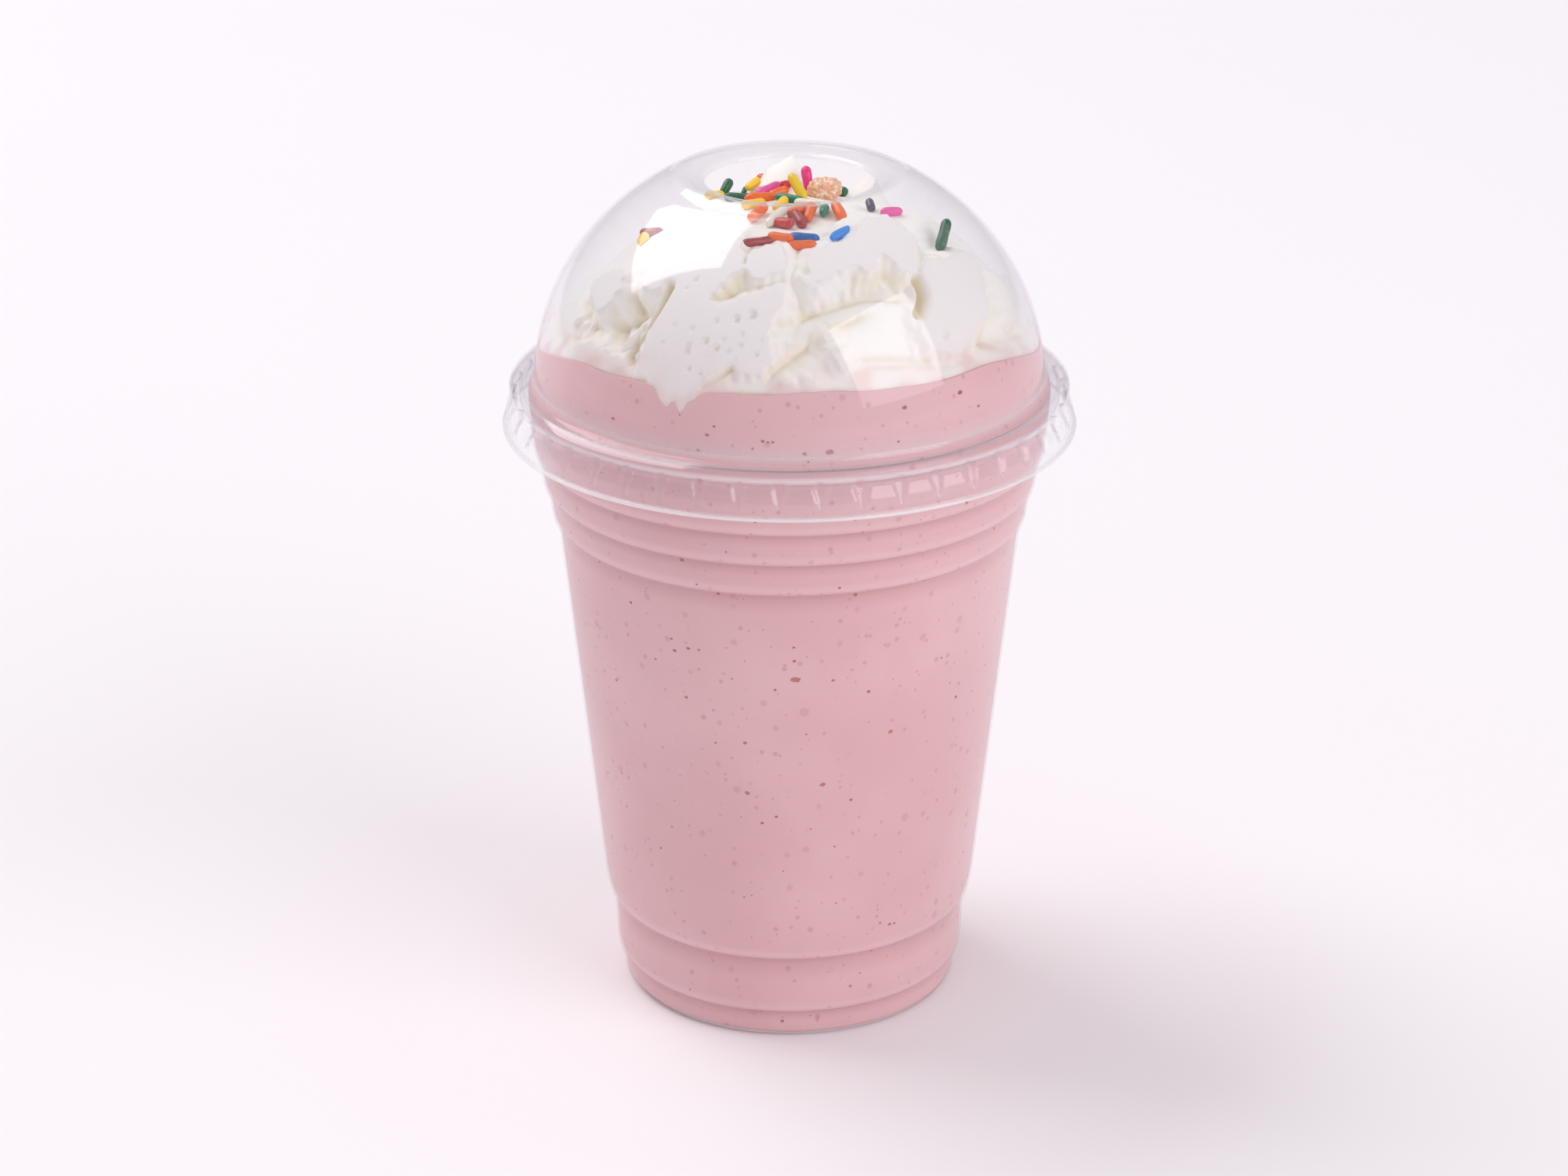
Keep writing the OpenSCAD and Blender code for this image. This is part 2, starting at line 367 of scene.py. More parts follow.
# One face of the lid, from its lip up to the straw hole: skirt, band, bead, hollow foot, dome, crest, and
# the ring that slopes in from it. The bead is a sloping shoulder outside and a quarter ellipse inside,
# centre + (a cos, b sin), the hollow is another, and the ring falls by f q^1.8 and a tanh step, q to 1.
def lidHalf(inset, fine=1.0):
    s = lidShape
    count = lambda rows: max(3, int(rows * fine))
    seatZ = cupHeight + s["wall"]
    seatR = mouthRadius + s["seatOut"]
    beadIn = seatR + s["beadOut"]
    crown = beadIn + s["crownOut"]
    edge = crown + s["edgeOut"]
    edgeZ = cupHeight + s["beadEdge"]
    crownZ = cupHeight + s["beadTop"]
    corners = np.array([
        [skirtRadius - 0.62, skirtLow + 2 * s["lip"] + 0.1],
        [edge + 0.72, cupHeight + s["bandLow"]],
        [edge - 0.18, cupHeight - 2.4],
        [edge - 0.22, edgeZ - 0.3],
    ])
    rows = [corners[:1]]
    for first, second, many in zip(corners[:-1], corners[1:], (7, 8, 5)):
        rows.append(first + (second - first) * np.linspace(0, 1, count(many))[1:, None])
    skirt = np.vstack(rows) - np.array([inset, 0.0])
    shoulder = cupHeight + s["beadShoulder"]
    tilt = 90 - s["shoulderTilt"]
    slope = np.radians(tilt)
    out, over = s["shoulderRound"], s["crownRound"]
    turnIn = arc((edge - out, shoulder - 0.1), out - inset * 0.8, 0, tilt, count(5))
    turnOver = arc((crown - 0.1, crownZ - over), over - inset, tilt - 4, 90, count(4))
    middle = 0.5 * (turnIn[-1] + turnOver[0]) + 0.05 * np.array([np.cos(slope), np.sin(slope)])
    outside = np.vstack([[[edge - inset, edgeZ]], turnIn, middle, turnOver])
    a = np.radians(np.linspace(90, 180, count(6)))[1:]
    inside = np.stack([
        crown - 0.1 + (crown - 0.1 - beadIn - inset) * np.cos(a),
        seatZ - inset + (crownZ - seatZ) * np.sin(a),
    ], axis=-1)
    foot = domePoint(domeStart, 0.0)
    a = np.radians(np.linspace(90, 0, count(6)))
    hollow = np.stack([
        seatR - (seatR - foot[0] + inset) * np.cos(a),
        foot[1] - (foot[1] - seatZ + inset) * np.sin(a),
    ], axis=-1)[:-1]
    last = np.radians(s["grooveSpan"])
    t = np.concatenate([
        np.linspace(domeStart, domeEnd - last, count(19)),
        np.linspace(domeEnd - last, domeEnd, count(7))[1:],
    ])
    dent = s["groove"] * bell(t - domeEnd + last * 0.45, last * 0.28)
    dome = domePoint(t, inset + dent)
    normal = np.degrees(np.arctan2(domeRadius * np.sin(domeEnd), domeRise * np.cos(domeEnd)))
    crest = arc(crestCentre, s["crest"] - inset, normal, s["crestEnd"], count(6))[1:]
    share = np.linspace(0, 1, count(16))[1:]
    step = (np.tanh((share - s["stepAt"]) / s["stepSoft"]) + 1) / 2
    fall = s["crestFall"] * share ** 1.8 + s["crestStep"] * step
    fall += s["holeDrop"] * np.exp(-(1 - share) / 0.03)
    ring = np.stack([crest[-1, 0] + (s["hole"] - crest[-1, 0]) * share, crest[-1, 1] - fall], axis=-1)
    return np.vstack([skirt, outside, inside, hollow, dome, crest, ring])


# Closed ring of the lid's two faces and its rolled lip, with how much painted highlight each point gets. A
# lug is a circle of lugRadius over a wedge that narrows to lugTip, and it presses the skirt in by depth e e
# (3 - 2 e), with e = (half width - distance) / soft edge. The painted highlight lines are exp(-(distance /
# width)^2).
def lidGrid():
    s = lidShape
    outer, inner = lidHalf(0.0), lidHalf(s["wall"], 0.7)
    roll = arc((skirtRadius - s["lip"], skirtLow + s["lip"]), s["lip"], -150, 80, 10)
    grid = lathe(np.vstack([roll, outer, inner[::-1]]), s["sides"])
    radius = np.hypot(grid[..., 0], grid[..., 1])
    angle = np.arctan2(grid[..., 1], grid[..., 0])
    pitch = 2 * np.pi / s["lugs"]
    away = np.abs((angle / pitch) % 1.0 - 0.5) * pitch * radius
    down = cupHeight + s["beadEdge"] - 0.2 - grid[..., 2]
    top = np.sqrt(np.clip(s["lugRadius"] ** 2 - (down - s["lugRadius"]) ** 2, 0, None))
    taper = np.clip((down - s["lugRadius"]) / (s["lugHeight"] - s["lugRadius"]), 0, 1)
    half = np.where(down < s["lugRadius"], top, s["lugRadius"] + (s["lugTip"] - s["lugRadius"]) * taper)
    edge = np.clip((half - away) / s["lugSoft"], 0, 1)
    press = s["lugDepth"] * edge * edge * (3 - 2 * edge) * (1 - 0.5 * taper)
    press *= np.clip((s["lugHeight"] - down) / 0.4, 0, 1) * (down > 0) * (radius > rimRadius)
    grid[..., :2] *= (1 - press / radius)[..., None]
    # painted highlights, white lines along the moulded edges where glints fall: lip, bead's foot, lugs'
    # outlines, dome's foot, bead's crown and the hole's edge
    z, r = grid[..., 2], radius
    lip = bell(z - skirtLow - 0.3, 0.42) * (r > skirtRadius - 1.0)
    foot = 0.7 * bell(z - cupHeight - s["beadEdge"] + 0.1, 0.22) * (r > rimRadius)
    line = 0.12 * 4 * edge * (1 - edge) * (press > 0)
    corner = 0.75 * bell(r - domePoint(domeStart, 0.0)[0] - 0.15, 0.22) * (z < cupHeight + 3.2)
    crown = 0.30 * bell(r - mouthRadius - 1.9, 0.35) * (z > cupHeight)
    crestGlint = 0.55 * bell(r - s["hole"] - 0.1, 0.3) * (z > cupHeight + 20)
    return grid, np.clip(lip + foot + line + corner + crown + crestGlint, 0, 1)


shakeShape = {
    "reach": 0.15,  # how far it reaches into the wall
    "level": 129.2,
    "wave": 0.5,
    "sideDrop": 5.0,  # the edge lies lower at the sides and the back
    "dripDrop": 3.0,  # cream has run down past the edge at the front left
    "sides": 480,
}


# Height of the shake's edge against the dome, for a direction in radians from the front, + to the right:
# slow and quick sines, less a smooth drop q q (3 - 2 q) to the sides and a ragged notch exp(-w^4).
def shakeLevel(angle):
    s = shakeShape
    turn = (angle + np.pi) % (2 * np.pi) - np.pi
    fine = 0.45 * np.sin(5 * turn + 1.1) + 0.28 * np.sin(9 * turn + 0.3) + 0.16 * np.sin(17 * turn)
    share = np.clip((np.degrees(np.abs(turn)) - 50) / 42, 0, 1)
    drop = s["sideDrop"] * share * share * (3 - 2 * share)
    away = (np.degrees(turn) + 26) / 5.0
    notch = s["dripDrop"] * np.exp(-away ** 4) * (1 + 0.25 * np.sin(70 * turn) + 0.2 * np.sin(113 * turn))
    return s["level"] + 0.9 + 0.35 * np.cos(2 * turn - 0.6) + s["wave"] * fine - drop - notch


# Rows up the inside of the cup and the dome, (r, z) turned about Z, then in over the top, where the middle
# sinks by 0.5 (1 - share of the radius)^1.2.
def shakeGrid():
    s = shakeShape
    reach = s["reach"]
    ringIn = cupShape["footRadius"] - cupShape["footRing"]
    floor = cupShape["recess"] + cupShape["wall"] - reach
    inset = cupShape["wall"] - reach
    low = np.array([[cupShape["middle"], floor], [ringIn - 1.0, floor], [ringIn + 0.45, inset]])
    cupRows = wallProfile(inset, inset)
    neck = np.array([[mouthRadius + 0.05, cupHeight - 0.5]])
    under = lidHalf(lidShape["wall"] - reach)
    hollow = under[(under[:, 0] < mouthRadius) & (under[:, 1] < cupHeight + lidShape["foot"])]
    side = lathe(np.vstack([low, cupRows, neck, hollow]), s["sides"])
    angle = np.linspace(0, 2 * np.pi, s["sides"], endpoint=False)
    level = shakeLevel(angle + np.pi / 2)
    share = np.linspace(0, 1, 22)[1:, None]
    base = cupHeight + lidShape["foot"]
    height = base + (level - base) * share
    t = np.arcsin((height - cupHeight) / domeRise)
    ring = domePoint(t, lidShape["wall"] - reach)
    dome = np.stack([ring[..., 0] * np.cos(angle), ring[..., 0] * np.sin(angle), ring[..., 1]], axis=-1)
    inward = np.array([0.995, 0.985, 0.96, 0.92, 0.86, 0.7, 0.4, 0.02])[:, None]
    rim = dome[-1]
    flat = rim[None, :, :2] * inward[..., None]
    sink = -0.5 * (1 - inward) ** 1.2
    top = np.concatenate([flat, (rim[None, :, 2] + sink)[..., None]], axis=-1)
    return np.vstack([side, dome, top])


creamShape = {
    "columns": 616,
    "rows": 160,
    "frontShare": 0.62,  # share of the columns that the front takes
    "frontHalf": 80.0,  # degrees either side of the front
    "low": 5.0,  # elevation on the dome at which the cream starts
    "touch": 0.06,  # how near a pressed patch comes to the wall
    "ragged": 0.35,
    "backFold": 2.2,
    "backFolds": 7,
    "lean": 1.5,  # degrees round for each degree up
}

# depth of the open mound below the wall by elevation: on the right, on the left and at the back
moundAt = (0, 10, 20, 26, 31, 38, 46, 54, 62, 70, 80, 90)
moundRight = (0.8, 1.2, 2.6, 3.1, 3.4, 3.6, 3.8, 4.2, 6.2, 8.2, 9.2, 9.5)
moundLeft = (0.8, 1.0, 1.8, 2.8, 4.4, 5.4, 5.3, 5.2, 6.6, 8.2, 9.2, 9.5)
moundBack = (0.5, 0.6, 2.8, 5.2, 6.6, 7.7, 8.2, 8.6, 9.0, 9.5, 9.8, 9.6)

# outlines of the patches pressed on the dome: degrees round from the front, + to the right, and elevation
patches = [
    [(-46, 36), (-45, 44), (-40, 52), (-30, 56), (-20, 55), (-15, 49), (-16, 44), (-21, 41),
     (-25, 36.5), (-20, 36.5),
     (-13, 38.5), (-6, 41.5), (-2, 43.5), (-2, 39), (-4, 33), (-5, 27), (-5, 23), (-8, 20.5),
     (-11, 21.5), (-13, 23),
     (-16, 21.5), (-19, 19), (-20, 16), (-23, 14), (-25, 12), (-29, 10), (-31, 14), (-34, 16),
     (-37, 19), (-37, 28),
     (-36, 33), (-34, 36.5), (-37, 38)],
    [(-14, 46), (-11, 44), (-6, 44), (-2, 45.5), (0, 48), (-1, 51), (-4, 53.5), (-10, 53), (-14, 50)],
    [(4, 47), (3, 44), (4, 42), (8, 41.5), (12, 42.5), (15, 45), (19, 46.5), (22, 46), (23, 44),
     (28, 45), (31, 49),
     (33, 47), (36, 43), (40, 42), (45, 46), (48, 50), (47, 54), (44, 57), (39, 59), (33, 59),
     (28, 57), (25, 54.5),
     (18, 53.5), (11, 52), (6, 50)],
    [(41, 41), (45, 43.5), (51, 42.5), (64, 43), (70, 40), (67, 36), (63, 33), (61, 29.5), (57, 27),
     (53, 24.5),
     (48, 22.5), (42, 21.5), (37, 22.5), (35, 25), (34, 30), (37, 33), (40, 36.5)],
    [(-62, 17.5), (-58, 20), (-52, 21.5), (-46, 20.5), (-40, 20.5), (-41, 18), (-46, 17), (-54, 16.5)],
    [(-66, 33), (-62, 38), (-56, 39), (-52, 36), (-53, 31), (-56, 27), (-60, 30)],
    [(8.5, 30.2), (11, 31), (12, 29.2), (10, 28)], [(9.5, 26.4), (12.5, 27), (13.5, 24.5), (11, 24)],
    [(11, 23.6), (14, 23.5), (14, 21.4), (12, 21.2)], [(-3, 20), (0, 20.5), (1.5, 18), (-1, 17)],
    [(3, 20.5), (6, 20), (6.5, 18), (4, 17.5)], [(72, 30), (77, 33), (80, 28), (76, 22), (71, 21),
     (73, 26)],
]
# soft folds: depth in mm (below 0 for a ridge), width in mm, side it falls away on or 0 for both, and points
folds = [
    (2.6, 1.1, 0, [(-36, 39), (-37, 33), (-39, 28.5), (-40, 25), (-41.5, 21.5), (-40, 19.5)]),
    (-1.5, 0.8, 0, [(-40, 35), (-41.5, 30), (-42, 26), (-44.5, 22)]),
    (2.4, 1.0, 0, [(-56, 12.5), (-52, 14.8), (-48, 15.4), (-45, 15.0)]),
    (2.4, 1.0, 0, [(-43, 15.4), (-39, 15.6), (-35, 16.4)]),
    (1.6, 0.9, 0, [(-20, 17.4), (-17, 19.4), (-14, 22.0)]),
    (1.5, 2.2, -1, [(-5, 22.5), (-1, 24.5), (3, 27), (7, 29.8), (12, 32.5), (19, 34.5)]),
    (1.2, 1.6, 1, [(-2, 33), (6, 36), (14, 38), (24, 39), (32, 37)]),
    (3.6, 1.2, 0, [(40, 40.5), (40, 37), (38, 34.5), (35.5, 32.5)]),
    (1.8, 1.6, 0, [(21, 43), (26, 42.5), (31, 44.5), (35, 41.5)]),
    (0.8, 0.6, 0, [(15, 24.5), (25, 24), (33, 22), (40, 20.8), (46, 20.8), (52, 22.5), (57, 25)]),
    (0.6, 0.6, 0, [(18, 22.5), (27, 21.5), (36, 19.6), (46, 18.8)]),
    (-1.3, 1.6, 0, [(72, 38), (74, 32), (70, 27), (66, 23), (69, 18)]),
    (2.0, 1.2, 0, [(66, 34), (63, 29), (61, 25), (55, 22)]),
    (-1.6, 0.9, 0, [(1, 49), (1, 45), (1.2, 39.5)]),
    (2.2, 0.7, 0, [(-14, 15.6), (-11, 17.2), (-8, 16.4), (-5, 15.8)]),
    (1.4, 0.9, 0, [(6, 16.5), (9, 17.5), (12, 17)]),
    (2.2, 1.8, 0, [(-16, 50), (-15, 46), (-17, 42), (-22, 38.5)]),
    (1.6, 1.6, 0, [(-57, 24), (-55, 22.5)]), (2.0, 1.5, 0, [(-48, 24.5), (-46.5, 22.5)]),
    (2.2, 1.8, 0, [(-48, 34), (-46, 30)]), (2.0, 1.4, 0, [(-52, 29), (-50, 25)]),
    (2.2, 2.0, 0, [(-69, 29), (-65, 27)]), (-1.2, 0.9, 0, [(-55, 30), (-51, 27), (-50, 22)]),
    (-1.0, 0.8, 0, [(-62, 27), (-59, 23), (-60, 19)]), (1.6, 1.2, 0, [(-66, 22), (-63, 19)]),
]
# pits in the pressed patches: degrees round, elevation, radius in mm
pits = [
    (-10, 34.7, 1.0), (-14, 33.5, 0.8), (-19, 32.7, 0.55), (-21, 27.8, 0.75), (-18, 26.5, 0.7),
    (-25, 26.4, 0.55), (-25, 25.0, 0.6), (-15, 26.0, 0.5), (-12, 27.7, 0.5), (-8, 25.8, 0.5),
    (-13, 24.4, 0.4), (-24, 21.1, 0.55), (-21, 20.4, 0.5), (-20, 19.3, 0.4), (-30, 30.5, 0.4),
    (-25, 30.3, 0.5), (-32, 26.1, 0.35), (-28, 41.7, 0.5), (-30, 39.5, 0.4), (-20, 41.1, 0.5),
    (-12, 30.2, 0.5), (-7, 29.0, 0.4), (41, 26.3, 0.8), (-16.5, 28.6, 0.45),
]
# soft peaks seen through the straw hole: x, y, height, half width in mm
peaks = [
    (0.5, 13.0, 6.0, 6.6), (-3.8, 12.0, 2.6, 5.4), (13.2, 14.5, 5.2, 5.6),
    (-6.4, 8.4, 1.8, 2.6), (6.2, -4.8, 1.0, 3.4),
]
# patches on the far side: degrees round, elevation, half width and half height in mm
farPatches = [(140, 17, 7, 3.5), (162, 23, 9, 5), (190, 19, 8, 4), (213, 19, 8, 4.5)]


# Directions round the cream in degrees from the front, closer together where it faces front.
def creamColumns():
    s = creamShape
    many = int(s["columns"] * s["frontShare"])
    half = s["frontHalf"]
    front = np.linspace(-half, half, many, endpoint=False)
    return np.concatenate([front, np.linspace(half, 360 - half, s["columns"] - many, endpoint=False)])


# Points at the radii and heights of ring, in directions from the front: (r sin a, -r cos a, z).
def turned(ring, turn):
    return np.stack([ring[..., 0] * np.sin(turn), -ring[..., 0] * np.cos(turn), ring[..., 1]], axis=-1)


# Difference of two directions, from -180 to 180 degrees.
def apart(angle, middle):
    return (angle - middle + 180.0) % 360.0 - 180.0


# Directions laid flat in mm: (angle from the middle x ring radius, elevation x dome radius).
def laidFlat(angle, t, middle):
    ring = domeRadius * np.cos(np.radians(t))
    return np.stack([np.radians(apart(angle, middle)) * ring, np.radians(t) * domeRadius], axis=-1)


# Distance from points to the nearest of the segments first-second, with the cross product's sign there.
def segmentDistance(points, first, second):
    best = np.full(points.shape[:-1], 1e9)
    side = np.ones(points.shape[:-1])
    for p, q in zip(first, second):
        along = q - p
        share = np.clip(((points - p) @ along) / (along @ along), 0, 1)
        gap = points - p - share[..., None] * along
        away = np.hypot(gap[..., 0], gap[..., 1])
        cross = along[0] * gap[..., 1] - along[1] * gap[..., 0]
        nearer = away < best
        best = np.where(nearer, away, best)
        side = np.where(nearer, np.sign(cross), side)
    return best, side


# Rounded copy of an outline: each corner is cut at 1/4 and 3/4 of its sides, twice.
def rounded(outline, closed=True):
    for _ in range(2):
        following = np.roll(outline, -1, axis=0)
        cut = np.stack([0.75 * outline + 0.25 * following, 0.25 * outline + 0.75 * following], axis=1)
        if not closed:
            cut = cut[:-1]
            outline = np.vstack([outline[:1], cut.reshape(-1, 2), outline[-1:]])
        else:
            outline = cut.reshape(-1, 2)
    return outline


# The points near a fold's line, with their distance from it in mm and the side that they lie on.
def nearFold(angle, t, line, wide, tall):
    shape = np.array(line, float)
    middle = shape[:, 0].mean()
    across = np.abs(apart(angle, middle)) < np.ptp(shape[:, 0]) / 2 + wide
    window = across & (np.abs(t - shape[:, 1].mean()) < tall)
    corners = rounded(laidFlat(shape[:, 0], shape[:, 1], middle), False)
    flat = laidFlat(angle[window], t[window], middle)
    away, side = segmentDistance(flat, corners[:-1], corners[1:])
    return window, away, side


# Distance in mm outside the nearest pressed patch; below 0 inside one.
def patchDistance(angle, t):
    near = np.full(angle.shape, 99.0)
    for outline in patches:
        shape = np.array(outline, float)
        middle = shape[:, 0].mean()
        window = (np.abs(apart(angle, middle)) < np.ptp(shape[:, 0]) / 2 + 22) & (t < shape[:, 1].max() + 14)
        flat = laidFlat(angle[window], t[window], middle)
        corners = rounded(laidFlat(shape[:, 0], shape[:, 1], middle))
        following = np.roll(corners, -1, axis=0)
        away, _ = segmentDistance(flat, corners, following)
        # a point is inside when a line from it crosses the outline an odd number of times
        inside = np.zeros(len(flat), dtype=bool)
        for p, q in zip(corners, following):
            spans = (p[1] > flat[:, 1]) != (q[1] > flat[:, 1])
            rise = q[1] - p[1] if q[1] != p[1] else 1e-9
            inside ^= spans & (flat[:, 0] < p[0] + (q[0] - p[0]) * (flat[:, 1] - p[1]) / rise)
        near[window] = np.minimum(near[window], np.where(inside, -away, away))
    for middle, height, wide, tall in farPatches:
        flat = laidFlat(angle, t, middle)
        u, v = flat[..., 0] / wide, (flat[..., 1] - np.radians(height) * domeRadius) / tall
        near = np.minimum(near, (np.hypot(u, v) - 1.0) * min(wide, tall))
    return near


# Depth of the cream's surface below the dome's inner wall, in mm, at direction angle and elevation t: the
# open mound, waves, and folds a exp(-(d / w)^2), or a exp(-d / w) to one side, joined by a smooth minimum
# to the patches pressed on the wall, whose free edge falls away as sqrt(d) + 0.1 d + 0.09 d^2. Also gives
# how much each point touches the wall and how much painted yellowish shade its fold gets.
def creamDepth(angle, t):
    s = creamShape
    turn = np.radians(angle)
    spot = turned(domePoint(np.radians(t), lidShape["wall"]), turn)
    right, left = np.interp(t, moundAt, moundRight), np.interp(t, moundAt, moundLeft)
    leftShare = np.clip(0.5 - 0.9 * np.sin(turn), 0, 1)
    depth = right * (1 - leftShare) + left * leftShare
    backShare = np.clip((np.abs(apart(angle, 8)) - 78) / 30, 0, 1)
    depth += (np.interp(t, moundAt, moundBack) - depth) * backShare
    # a broad rope in front
    depth *= 1 - 0.62 * np.exp(-(apart(angle, 13) / 20.0) ** 2 - ((t - 29) / 13.0) ** 2)
    wander, waver = softNoise(spot, 34.0, 3), softNoise(spot, 22.0, 4)
    upper = np.clip((80 - t) / 25, 0, 1)
    depth += 0.55 * softNoise(spot, 26.0, 5) * (0.15 + 0.85 * upper)
    along = np.stack([0.5 * angle - 0.3 * t, 2.2 * t + 0.9 * angle, 0 * t], axis=-1) + 2.0 * waver[..., None]
    depth += 0.07 * softNoise(along, 9.0, 14) * upper
    # leaning ropes on the far side
    far = np.clip((np.abs(apart(angle, 0)) - 78) / 22, 0, 1)
    phase = (angle + 10 * wander - s["lean"] * (t + 4 * waver)) * s["backFolds"] / 360.0
    depth += s["backFold"] * (0.5 - np.abs(np.sin(np.pi * phase)) ** 0.8) * upper * far
    # broken cream at the front left
    rough = np.exp(-(apart(angle, -58) / 12.0) ** 2 - ((t - 27) / 10.0) ** 2)
    depth += rough * (0.9 * softNoise(spot, 8.0, 8) + 0.55 * np.abs(softNoise(spot, 4.5, 9)) - 1.6)
    # soft peaks
    ring = domePoint(np.radians(t), lidShape["wall"] + depth)[..., 0]
    x, y = ring * np.sin(turn), -ring * np.cos(turn)
    for px, py, height, half in peaks:
        away = np.hypot(x - px, y - py) / half
        depth -= height * np.clip(1 - away, 0, 1) ** 1.3 * (t > 40)
    # painted yellowish shade along the folds
    foldShadeAt = np.zeros(depth.shape)
    for fall, wide, faces, line in folds:
        window, away, side = nearFold(angle, t, line, 12 * wide, 40)
        if fall > 0:
            shadeHere = min(fall / 3.0, 1.0) * bell(away, 0.9 * wide)
            foldShadeAt[window] = np.maximum(foldShadeAt[window], shadeHere)
        if faces:
            away = np.where(side * faces > 0, away, 3.5 * away)
            depth[window] += fall * np.exp(-away / wide)
        else:
            depth[window] += fall * bell(away, wide)
    depth = np.maximum(depth, 0.45)
    carved = np.zeros(depth.shape)
    near = patchDistance(angle, t)
    near = near + s["ragged"] * (softNoise(spot, 6.0, 11) + 0.6 * softNoise(spot, 2.4, 12))
    out = np.clip(near, 0, None)
    shelf = 1.0 * np.sqrt(out) + 0.1 * out + 0.09 * out ** 2
    soft = 0.5
    share = np.clip(0.5 + 0.5 * (shelf - depth) / soft, 0, 1)
    depth = shelf * (1 - share) + depth * share - soft * share * (1 - share)
    touching = np.clip(1 - out / 0.25, 0, 1)
    # the narrow folds also cut through the patches
    for fall, wide, _, line in folds[:5] + folds[7:8]:
        window, away, _ = nearFold(angle, t, line, 8, 25)
        if fall > 0:
            carved[window] = np.maximum(carved[window], bell(away, 0.8 * wide) * fall)
    depth = np.maximum(depth, carved)
    touching = touching * np.clip(1 - carved / 0.4, 0, 1)
    for middle, height, radius in pits:
        flat = laidFlat(angle, t, middle) - np.array([0, np.radians(height) * domeRadius])
        away = np.hypot(flat[..., 0], flat[..., 1]) / radius
        dip = np.clip(1 - away ** 2, 0, 1) ** 0.5
        depth = depth + 0.9 * radius * dip
        touching = touching * (1 - dip)
    # thin where it meets the shake's edge
    above = spot[..., 2] - shakeLevel(turn)
    depth = depth * (0.22 + 0.78 * np.clip((above - 0.5) / 3.0, 0, 1) ** 1.3)
    return np.maximum(depth, s["touch"]), touching, foldShadeAt * (1 - touching)


# Grid of the cream, with how much each point touches the wall and how much painted shade it gets in a fold.
def creamParts():
    s = creamShape
    angle = creamColumns()[None, :]
    t = np.linspace(s["low"], 89.2, s["rows"])[:, None]
    angle, t = np.broadcast_arrays(angle, t)
    # yellow: how much painted shade each point gets along the folds
    depth, touching, yellow = creamDepth(angle.copy(), t.copy())
    grid = turned(domePoint(np.radians(t), lidShape["wall"] + depth), np.radians(angle))
    # painted shade in the creases: the depth less its own blurred copy shows which points lie in a crease
    wide = depth.copy()
    for _ in range(16):
        wide = (wide + np.roll(wide, 1, 1) + np.roll(wide, -1, 1)) / 3
        wide[1:-1] = (wide[1:-1] + wide[:-2] + wide[2:]) / 3
    creaseShade = np.clip(0.55 * (depth - wide) / 1.1 + 0.9 * yellow, 0, 1)
    return grid, touching, creaseShade


# Stores one number for each point, for the material to read, and 0 at each pole.
def giveAttribute(piece, name, values, poles=2):
    layer = piece.data.attributes.new(name, "FLOAT", "POINT")
    layer.data.foreach_set("value", np.append(values, [0.0] * poles).astype(np.float32))


# x and y in mm, turn round Z and tilt up in degrees, length, radius, colour
sprinkles = [
    (-9.0, 5.9, -8, 0, 6.2, 0.9, "green"), (-11.4, 11.4, 60, 35, 4.0, 0.9, "green"),
    (-8.0, 10.0, 80, 20, 2.4, 0.64, "green"),
    (-13.5, 9.2, 10, 0, 4.0, 0.85, "yellow"), (-6.6, 7.8, 40, 20, 3.7, 0.85, "yellow"),
    (-3.8, 6.4, 42, 8, 6.4, 1.06, "pink"),
    (3.2, 8.6, 105, 52, 5.3, 1.01, "rose"), (1.4, 3.8, 125, 38, 6.4, 1.01, "yellow"),
    (-0.9, 8.2, 40, 0, 2.9, 0.85, "red"),
    (-4.9, 1.9, 8, 0, 7.0, 1.01, "orange"), (-2.0, 3.4, 30, 10, 4.4, 0.95, "orange"),
    (0.0, -0.8, -24, 0, 6.4, 0.85, "teal"),
    (8.7, 12.4, -40, 18, 5.3, 1.01, "green"), (-2.3, -10.2, 56, 14, 7.3, 1.01, "ivory"),
    (-5.6, -7.6, 55, 14, 5.9, 1.01, "orange"),
    (-1.2, -12.6, 140, -8, 5.3, 1.01, "red"), (1.6, -11.2, 112, 16, 5.5, 1.01, "crimson"),
    (3.6, -8.8, 78, 20, 5.3, 1.01, "orange"),
    (1.6, -7.4, 20, 10, 5.1, 0.95, "orange"), (6.1, -7.4, 84, 8, 3.5, 0.9, "teal"),
    (8.7, -8.2, 112, 24, 5.7, 1.01, "orange"),
    (14.3, -4.0, 105, 30, 2.9, 0.85, "plum"), (18.0, -6.4, 12, 0, 4.4, 0.9, "pink"),
    (2.4, -21.2, -8, 0, 6.2, 1.01, "blue"),
    (8.8, -22.2, 52, 6, 6.2, 0.85, "sky"), (-5.0, -24.6, 22, 0, 8.4, 0.9, "crimson"),
    (2.0, -25.2, 8, 0, 5.9, 0.95, "orange"),
    (-1.6, -24.2, -20, 0, 5.1, 0.9, "orange"), (27.0, -12.6, 72, 40, 7.3, 1.06, "green"),
    (-24.6, -1.0, -14, 6, 4.8, 0.95, "crimson"),
    (-26.0, -6.4, 76, 10, 4.0, 0.9, "yellow"), (-1.6, -4.0, 64, 8, 5.1, 0.9, "yellow"),
    (3.2, -3.8, -20, 0, 5.5, 0.95, "ivory"),
    (-6.4, -2.4, 24, 0, 5.1, 0.95, "yellow"), (-0.6, 17.6, 25, -12, 5.9, 0.95, "sky"),
    (-3.8, 16.4, -40, -10, 5.7, 0.95, "orange"),
]
